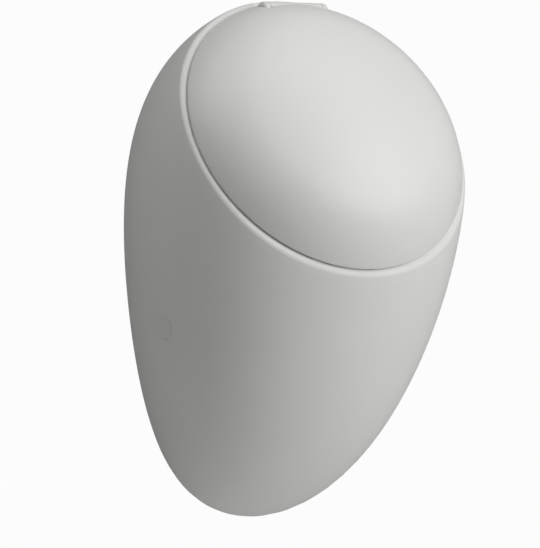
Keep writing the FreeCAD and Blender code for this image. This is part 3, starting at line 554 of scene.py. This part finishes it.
# ---------------------------------------------------------------- ware
@dataclass
class Ware:
    """Glazed ceramic: the egg with its rim, bowl, hinge deck and the hollow behind."""

    wall: float = 13.0
    rim_rounding: float = 3.5
    rim_first_deg: float = 3.4
    opening: float = 137.0
    lip: float = 4.0
    hollow_drop: float = 30.0
    pocket_radius: float = 152.6
    pocket_half_width: float = 62.0
    pocket_front: float = 112.0
    deck_drop: float = 16.0
    relief_low: tuple[float, float, float] = (-35.5, 148.0, -4.2)
    relief_high: tuple[float, float, float] = (35.5, 175.0, 12.0)
    relief_rounding: float = 4.0
    bolt_x: float = 18.0
    bolt_up: float = 138.0
    bush_radius: float = 6.0
    bush_span: tuple[float, float] = (-33.0, -15.0)  # lower and upper end, outward from the lid plane
    waste_ahead: float = 95.0
    waste_seat: float = 171.0
    waste_under: float = 153.0
    waste_hole: float = 24.0
    waste_land: float = 38.0
    seat_radius: float = 39.5
    seat_over: float = 12.0
    inlet_height: float = 430.0
    inlet_back: float = 48.0
    inlet_front: float = 77.0
    inlet_land: float = 30.0
    inlet_hole: float = 18.0
    socket_hole: float = 24.0
    land: float = 14.0
    land_low: float = 392.0
    side_height: float = 194.0
    side_ahead: float = 124.0
    # radius, then nearest and farthest place off the centre line
    side_boss: tuple[float, float, float] = (22.0, 128.0, 200.0)
    screw_hole: tuple[float, float, float] = (7.5, 123.0, 145.0)
    cap_hole: tuple[float, float, float] = (13.75, 140.0, 170.0)
    over: float = 5.0  # how far a tool stands past what it cuts
    sink: float = 8.0  # how far an added boss reaches into the wall

    def upright(self, radius: float, low: float, high: float) -> bmesh.types.BMesh:
        """Bar on the axis of the waste between two heights."""
        return bar(radius, at(0, self.waste_ahead, low) / MM, at(0, self.waste_ahead, high) / MM, 96)

    def level(self, radius: float, back: float, front: float) -> bmesh.types.BMesh:
        """Bar on the axis of the water inlet between two distances from the wall."""
        return bar(radius, at(0, back, self.inlet_height) / MM, at(0, front, self.inlet_height) / MM, 96)

    def sideways(self, radius: float, side: int, near: float, far: float) -> bmesh.types.BMesh:
        """Bar on the axis of a side clamp screw between two distances from the centre line."""
        spots = [at(side * x, self.side_ahead, self.side_height) / MM for x in (near, far)]
        return bar(radius, spots[0], spots[1], 96)

    def outer(self) -> bpy.types.Object:
        """The solid egg, cut off at the wall and the lid plane, its rim rounded."""
        bm = half_ball(Egg(), 0.0, self.rim_first_deg)
        lid_side = LID_PLACE.inverted()
        rim = [e for e in bm.edges if all(abs((lid_side @ v.co).z) < ON_PLANE for v in e.verts)]
        rounded(bm, rim, self.rim_rounding, 7)
        trimmed(bm, (0, 0, 0), (0, 1, 0))
        return thing(faced(bm), "ware")

    def hollow(self) -> bmesh.types.BMesh:
        """The hidden hollow between bowl and outside, open to the wall."""
        rings, steps, beyond = 40, 120, 300
        room = thing(half_ball(Egg(self.wall), self.hollow_drop, FIRST_RING_DEG, rings, steps), "hollow")
        bowl = half_ball(Basin(self.wall), self.hollow_drop - self.sink, FIRST_RING_DEG, rings, steps)
        carve(room, bowl, Cut.AWAY)
        land_low = self.land_low - HANGER_HEIGHT
        carve(room, brick((-beyond, -self.land, land_low), (beyond, 200, beyond)), Cut.AWAY)
        carve(room, self.upright(self.waste_land, self.waste_under, self.waste_seat), Cut.AWAY)
        carve(room, self.level(self.inlet_land, self.inlet_back, self.inlet_front), Cut.AWAY)
        radius, near, far = self.side_boss
        for side in (-1, 1):
            carve(room, self.sideways(radius, side, near, far), Cut.AWAY)
        return taken(room)

    def throat(self) -> bmesh.types.BMesh:
        """Round opening in the rim with its rounded lip."""
        edge = arc((self.opening + self.lip, -self.lip), self.lip, 180, 90, 8)
        low, high = -self.wall - 0.5, 3.0
        profile = [(0, low), (self.opening, low), *edge, (self.opening + self.lip, high), (0, high)]
        return placed(turned(profile, ROUND_STEPS), LID_PLACE)

    def pocket(self) -> bmesh.types.BMesh:
        """Recess whose deck carries the hinge."""
        bm = bar(self.pocket_radius, Vector((0, 0, -self.deck_drop)), Vector((0, 0, 3)), 240)
        trimmed(bm, (self.pocket_half_width, 0, 0), (1, 0, 0))
        trimmed(bm, (-self.pocket_half_width, 0, 0), (-1, 0, 0))
        trimmed(bm, (0, self.pocket_front, 0), (0, -1, 0))
        return placed(faced(bm), LID_PLACE)

    def relief(self) -> bmesh.types.BMesh:
        """Low place in the rear rim for the back of the lid when it stands open."""
        bm = brick(self.relief_low, self.relief_high)
        low = [e for e in bm.edges if all(v.co.z < 0 for v in e.verts)]
        along = [e for e in low if abs(e.verts[0].co.x - e.verts[1].co.x) < ON_PLANE]
        rounded(bm, along, self.relief_rounding, 6)
        return placed(bm, LID_PLACE)

    def build(self) -> None:
        """Carve the ware and dress it."""
        ware = self.outer()
        carve(ware, self.hollow(), Cut.AWAY)
        carve(ware, half_ball(Basin(), self.wall, FIRST_RING_DEG), Cut.AWAY)
        carve(ware, self.upright(self.seat_radius, self.waste_under + self.sink, self.waste_seat), Cut.ADD)
        carve(ware, self.level(self.inlet_land, self.inlet_back + self.sink, self.inlet_front), Cut.ADD)
        tools = [self.throat(), self.pocket(), self.relief(),
                 self.upright(self.seat_radius, self.waste_seat, self.waste_seat + self.seat_over),
                 self.upright(self.waste_hole, self.waste_under - self.over, self.waste_seat + self.over),
                 self.level(self.socket_hole, -self.over, self.land + self.over),
                 self.level(self.inlet_hole, self.inlet_back - self.over, self.inlet_front + self.over)]
        for x in (-self.bolt_x, self.bolt_x):
            low, high = (Vector((x, self.bolt_up, out)) for out in self.bush_span)
            tools.append(placed(bar(self.bush_radius, low, high), LID_PLACE))
        for side in (-1, 1):
            for radius, near, far in (self.screw_hole, self.cap_hole):
                tools.append(self.sideways(radius, side, near, far))
        for tool in tools:
            carve(ware, tool, Cut.AWAY)
        Piece("ware", CHINA, "white_glazed_china", ("ceramic_body",)).settle(ware)


# ---------------------------------------------------------------- lid
@dataclass
class Lid:
    """Domed lid: crown and knuckle arcs, a rounded foot, the hinge's room and slots, and its bosses."""

    crown: float = 280.0
    knuckle: float = 100.0
    edge_deg: float = 62.0
    radius: float = 153.1
    gap: float = 1.5
    thickness: float = 3.6
    foot_rise: float = 1.5
    notch_half: float = 39.5
    notch_up: float = 125.0
    notch_low: float = 16.0
    notch_wall: float = 3.0
    beyond: tuple[float, float] = (170.0, 80.0)  # up and outward, past the dome
    below: float = -5.0
    boss_across: tuple[float, ...] = (-22.0, 22.0)
    boss_ups: tuple[float, ...] = (96.0, 116.0)
    boss: tuple[float, float, float] = (5.5, 13.0, 60.0)  # radius, lower and upper end
    pad_degs: tuple[float, ...] = (40.0, 140.0, 220.0, 320.0)
    pad_ring: float = 143.5
    pad: tuple[float, float, float] = (6.5, 2.5, 30.0)  # radius, lower and upper end
    axis_up: float = 137.5
    axis_out: float = 10.5
    barrel_half: float = 30.3
    barrel_room: float = 10.1
    swing_radius: float = 15.0
    lip_up: float = 143.0
    lip_top: float = 8.0
    slot_end: float = 38.0
    slot_deg: float = 58.0
    slot_room: float = 10.4
    slot_reach: float = 60.0

    @property
    def knuckle_out(self) -> float:
        """Centre of the knuckle arc, outward from the lid plane."""
        return self.gap + 0.5 - self.knuckle * math.cos(math.radians(self.edge_deg))

    def surface(self, inset: float, rise: float) -> list[tuple[float, float]]:
        """Dome profile from the apex down to rise above the foot, drawn in by inset."""
        edge = math.radians(self.edge_deg)
        join = math.asin((self.radius - self.knuckle * math.sin(edge)) / (self.crown - self.knuckle))
        join_deg = math.degrees(join)
        knuckle_x = (self.crown - self.knuckle) * math.sin(join)
        crown_out = self.knuckle_out - (self.crown - self.knuckle) * math.cos(join)
        end_deg = math.degrees(math.acos((self.gap + rise - self.knuckle_out) / (self.knuckle - inset)))
        top = arc((0, crown_out), self.crown - inset, 90, 90 - join_deg, 16)
        side = arc((knuckle_x, self.knuckle_out), self.knuckle - inset, 90 - join_deg, 90 - end_deg, 24)
        return top + side[1:]

    def foot(self) -> list[tuple[float, float]]:
        """Rounded bottom edge that follows the outer surface."""
        start = self.surface(0.0, self.foot_rise)[-1]
        end = math.acos((self.gap + self.foot_rise - self.knuckle_out) / self.knuckle)
        radius = self.foot_rise / (1 + math.cos(end))
        centre = (start[0] - radius * math.sin(end), start[1] - radius * math.cos(end))
        return arc(centre, radius, 90 - math.degrees(end), -90, 5)[1:]

    def solid(self, inset: float = 0.0) -> bmesh.types.BMesh:
        """The dome as a full solid, drawn in by inset, for shaping what meets it."""
        return placed(turned([*self.surface(inset, 0.0), (0.0, self.gap)], ROUND_STEPS), LID_PLACE)

    def shell(self) -> bmesh.types.BMesh:
        """The hollow dome."""
        inner = self.surface(self.thickness, 0.0)
        profile = [*self.surface(0.0, self.foot_rise), *self.foot(), *reversed(inner)]
        return placed(turned(profile, ROUND_STEPS), LID_PLACE)

    def along(self, radius: float, half: float) -> bmesh.types.BMesh:
        """Cylinder round the hinge axis."""
        ends = [Vector((x, self.axis_up, self.axis_out)) for x in (-half, half)]
        return placed(bar(radius, ends[0], ends[1], 96), LID_PLACE)

    def hinge_room(self, lid: bpy.types.Object) -> None:
        """Hollow the back out for the hinge, so that the skin closes round its barrel and pillars.

        Args:
            lid: the dome with its solid block round the hinge.
        """
        half, end, (far_up, far_out) = self.notch_half, self.slot_end, self.beyond
        block = brick((-half, self.notch_up, self.below), (half, far_up, far_out))
        room = thing(placed(block, LID_PLACE), "room")
        carve(room, self.solid(self.thickness), Cut.KEEP)
        carve(lid, taken(room), Cut.AWAY)
        carve(lid, self.along(self.barrel_room, self.barrel_half), Cut.AWAY)
        edge = brick((-end, self.lip_up, self.below), (end, far_up, self.lip_top))
        lip = thing(placed(edge, LID_PLACE), "lip")
        carve(lip, self.along(self.swing_radius, 2 * half), Cut.AWAY)
        carve(lid, taken(lip), Cut.AWAY)
        axis = Matrix.Translation((0, self.axis_up, self.axis_out))
        axis @= Matrix.Rotation(math.radians(self.slot_deg), 4, "X")
        reach = self.slot_reach
        for side in (-1, 1):
            low, high = sorted((side * self.barrel_half, side * end))
            slot = placed(brick((low, -reach, -reach), (high, reach, self.slot_room)), axis)
            carve(lid, placed(slot, LID_PLACE), Cut.AWAY)

    def build(self) -> None:
        """Make the shell with its hinge room, the wall round it, the bosses and the foot pads."""
        lid = thing(self.shell(), "lid_dome")
        half, front = self.notch_half + self.notch_wall, self.notch_up - self.notch_wall
        block = brick((-half, front, self.notch_low), (half, *self.beyond))
        walls = thing(placed(block, LID_PLACE), "walls")
        turns = [math.radians(degrees) for degrees in self.pad_degs]
        pads = [(self.pad_ring * math.cos(turn), self.pad_ring * math.sin(turn)) for turn in turns]
        bosses = [(x, up) for x in self.boss_across for up in self.boss_ups]
        for spots, (radius, low, high) in ((bosses, self.boss), (pads, self.pad)):
            for x, up in spots:
                post = bar(radius, Vector((x, up, low)), Vector((x, up, high)), 40)
                carve(walls, placed(post, LID_PLACE), Cut.ADD)
        carve(walls, self.solid(), Cut.KEEP)
        carve(lid, taken(walls), Cut.ADD)
        self.hinge_room(lid)
        Piece("lid", UREA, "white_thermoset_lid", ("lid_shell",)).settle(lid)


# ---------------------------------------------------------------- hinge
@dataclass
class HingeBase:
    """Fixed half of the hinge: a foot plate with a soft-edged pillar at each end."""

    inner: float = 30.6
    outer: float = 37.6
    radius: float = 9.8
    axis_up: float = 137.5
    axis_out: float = 10.5
    foot_low: float = -14.0
    foot_top: float = -9.0
    foot_ups: tuple[float, float] = (126.0, 145.0)
    bolt: tuple[float, float, float] = (18.0, 138.0, 3.3)  # across, up and radius
    shaft_hole: float = 3.02
    pillar_edge: float = 3.4
    foot_edge: float = 0.8
    over: float = 5.0

    def pillar(self, side: int) -> bmesh.types.BMesh:
        """Round-topped pillar, rounded towards its outer face."""
        low, high = sorted((side * self.inner, side * self.outer))
        up, out = self.axis_up, self.axis_out
        post = thing(brick((low, up - self.radius, self.foot_low), (high, up + self.radius, out)), "post")
        carve(post, bar(self.radius, Vector((low, up, out)), Vector((high, up, out)), 96), Cut.ADD)
        bm = taken(post)
        bmesh.ops.remove_doubles(bm, verts=bm.verts, dist=MERGE)
        flat = [e for e in bm.edges if len(e.link_faces) == 2 and e.calc_face_angle(0.0) < 1e-3]
        bmesh.ops.dissolve_edges(bm, edges=flat, use_verts=True)
        face_x = side * self.outer
        edge = [e for e in bm.edges if all(abs(v.co.x - face_x) < ON_PLANE for v in e.verts)]
        rounded(bm, edge, self.pillar_edge, 6)
        return bm

    def build(self) -> None:
        """Make the plate and its pillars, and bore them for the shafts and bolts."""
        end, (low_up, high_up) = self.outer, self.foot_ups
        plate = brick((-end, low_up, self.foot_low), (end, high_up, self.foot_top))
        rim = [e for e in plate.edges if all(v.co.z > self.foot_top - ON_PLANE for v in e.verts)]
        rounded(plate, rim, self.foot_edge, 3)
        base = thing(plate, "hinge_base_solid")
        for side in (-1, 1):
            carve(base, self.pillar(side), Cut.ADD)
        ends = [Vector((x, self.axis_up, self.axis_out)) for x in (-end - self.over, end + self.over)]
        carve(base, bar(self.shaft_hole, ends[0], ends[1]), Cut.AWAY)
        x, up, radius = self.bolt
        for spot in (-x, x):
            low = Vector((spot, up, self.foot_low - self.over))
            high = Vector((spot, up, self.foot_top + self.over))
            carve(base, bar(radius, low, high), Cut.AWAY)
        made = thing(placed(taken(base), LID_PLACE), "hinge_foot")
        Piece("ware", ABS, "white_moulded_plastic", ("hinge_base",)).settle(made)


# ---------------------------------------------------------------- caps
@dataclass
class SideCap:
    """Round cover cap whose face follows the ware."""

    side: int
    radius: float = 13.5
    proud: float = 0.8
    edge: float = 0.7
    face: float = 20.0
    base: float = 148.0
    skirt_room: float = 0.1
    skirt_thickness: float = 1.7
    skirt_low: float = -7.0
    shoulder: float = -3.0
    ahead: float = 124.0
    height: float = 194.0

    def build(self) -> None:
        """Turn the cap, then bend its face to the ware."""
        face, steps = self.face, 10
        rings = [(self.radius * i / steps, face) for i in range(steps)]
        edge = arc((self.radius - self.edge, face - self.edge), self.edge, 90, 0, 4)
        outer = self.radius - self.skirt_room
        inner = outer - self.skirt_thickness
        skirt = [(self.radius, self.shoulder), (outer, self.shoulder), (outer, self.skirt_low),
                 (inner, self.skirt_low), (inner, 0.0), (0.0, 0.0)]
        bm = turned([*rings, *edge, *skirt], 96)
        egg = Egg(-self.proud)
        for dot in bm.verts:
            spot = Vector((0.0, dot.co.x - self.ahead, self.height - HANGER_HEIGHT + dot.co.y))
            surface = egg.reach(spot, Vector((1, 0, 0)))
            out = surface - face if dot.co.z > face / 2 else self.base
            dot.co = Vector((self.side * (out + dot.co.z), spot.y, spot.z))
        word = "left" if self.side < 0 else "right"
        cap = thing(faced(bm), f"cap_{word}_cover")
        Piece(f"cap_{word}", ABS, "white_moulded_plastic", (f"side_cap_{word}",)).settle(cap)


# ---------------------------------------------------------------- studio
@dataclass
class Studio:
    """Floor, backdrop, lights and the camera at the photograph's viewing angle."""

    azimuth_deg: float = -32.1
    distance: float = 5.0
    frame_long_side: float = 0.548
    aim: tuple[float, float, float] = (0.0, -0.0824, -0.126)
    sensor_mm: float = 36.0
    far_end: float = 60.0
    air: float = 0.035
    floor_height: float = -1.0
    floor_side: float = 8.0
    backdrop_distance: float = 9.0
    backdrop_side: float = 3.0
    lamp_distance: float = 2.6
    lamp_size: float = 1.8
    # name, degrees to the camera's right, degrees above the horizon, watts
    lamps: tuple[tuple[str, float, float, float], ...] = (
        ("key_light", 64.0, 20.0, 42.0),
        ("top_light", 60.0, 60.0, 15.0),
        ("back_light", -60.0, 55.0, 24.0),
    )

    def heading(self, turn_deg: float, rise_deg: float) -> Vector:
        """Unit vector from the object towards a place beside the camera.

        Args:
            turn_deg: degrees to the camera's right.
            rise_deg: degrees above the horizon.

        Returns:
            The direction.
        """
        turn = math.radians(self.azimuth_deg + turn_deg)
        rise = math.radians(rise_deg)
        return Vector((math.sin(turn) * math.cos(rise), -math.cos(turn) * math.cos(rise), math.sin(rise)))

    def panel(self, name: str, turn_deg: float, rise_deg: float, power: float) -> None:
        """Square soft light that faces the object.

        Args:
            name: the light's name.
            turn_deg: degrees to the camera's right.
            rise_deg: degrees above the horizon.
            power: watts.
        """
        data = bpy.data.lights.new(name, "AREA")
        data.size = self.lamp_size
        data.energy = power
        lamp = bpy.data.objects.new(name, data)
        bpy.context.scene.collection.objects.link(lamp)
        back = self.heading(turn_deg, rise_deg)
        lamp.location = Vector(self.aim) + back * self.lamp_distance
        lamp.rotation_euler = back.to_track_quat("Z", "Y").to_euler()

    def sheet(self, name: str, side: float, place: Matrix, colour: str, glow: float) -> None:
        """Plain square of floor or backdrop.

        Args:
            name: the object's name.
            side: side of the square in metres.
            place: where it goes.
            colour: sRGB hex value.
            glow: strength of its own light.
        """
        bm = bmesh.new()
        bmesh.ops.create_grid(bm, x_segments=1, y_segments=1, size=side / 2)
        made = thing(placed(bm, place), name)
        surface = bpy.data.materials.new(name)
        surface.use_nodes = True
        shader = surface.node_tree.nodes["Principled BSDF"]
        shader.inputs["Base Color"].default_value = linear("#000000" if glow else colour)
        shader.inputs["Specular IOR Level"].default_value = 0.0 if glow else 0.5
        shader.inputs["Roughness"].default_value = 0.9
        shader.inputs["Emission Color"].default_value = linear(colour)
        shader.inputs["Emission Strength"].default_value = glow
        made.data.materials.append(surface)

    def build(self) -> None:
        """Make the camera, the lights, the world, the floor and the backdrop."""
        scene = bpy.context.scene
        scene.view_settings.view_transform = "Standard"
        data = bpy.data.cameras.new("camera")
        camera = bpy.data.objects.new("camera", data)
        scene.collection.objects.link(camera)
        scene.camera = camera
        back = self.heading(0.0, 0.0)
        camera.location = Vector(self.aim) + back * self.distance
        camera.rotation_euler = back.to_track_quat("Z", "Y").to_euler()
        data.sensor_width = self.sensor_mm
        data.lens = self.sensor_mm * self.distance / self.frame_long_side
        data.clip_end = self.far_end

        world = bpy.data.worlds.new("studio_air")
        scene.world = world
        world.use_nodes = True
        air = world.node_tree.nodes["Background"]
        air.inputs["Color"].default_value = (1.0, 1.0, 1.0, 1.0)
        air.inputs["Strength"].default_value = self.air

        for name, turn_deg, rise_deg, power in self.lamps:
            self.panel(name, turn_deg, rise_deg, power)
        floor = Matrix.Translation((0.0, 0.0, self.floor_height))
        self.sheet("studio_floor", self.floor_side, floor, "#F2F2F0", 0.0)
        facing = back.to_track_quat("Z", "Y").to_matrix().to_4x4()
        behind = Matrix.Translation(Vector(self.aim) - back * self.backdrop_distance) @ facing
        self.sheet("studio_backdrop", self.backdrop_side, behind, "#FCFCFC", 1.0)


def dress(frame: dict) -> None:
    """Give every CAD node the finish of its material slot.
    """
    slots = {part["node"]: part["material_slot"] for part in frame["record"]["subparts"]}
    for name, solid in frame["nodes"].items():
        finish = SLOT_FINISH[slots[name]]
        solid.data.materials.clear()
        solid.data.materials.append(finish.material())
        LOG.info("node %s: %s", name, finish.title)


def main() -> None:
    """Load the frame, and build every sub-assembly."""
    logging.basicConfig(level=logging.INFO, format="%(name)s: %(message)s")
    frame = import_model()
    Studio().build()
    dress(frame)
    Ware().build()
    Lid().build()
    HingeBase().build()
    for side in (-1, 1):
        SideCap(side).build()


if __name__ == "__main__":
    main()
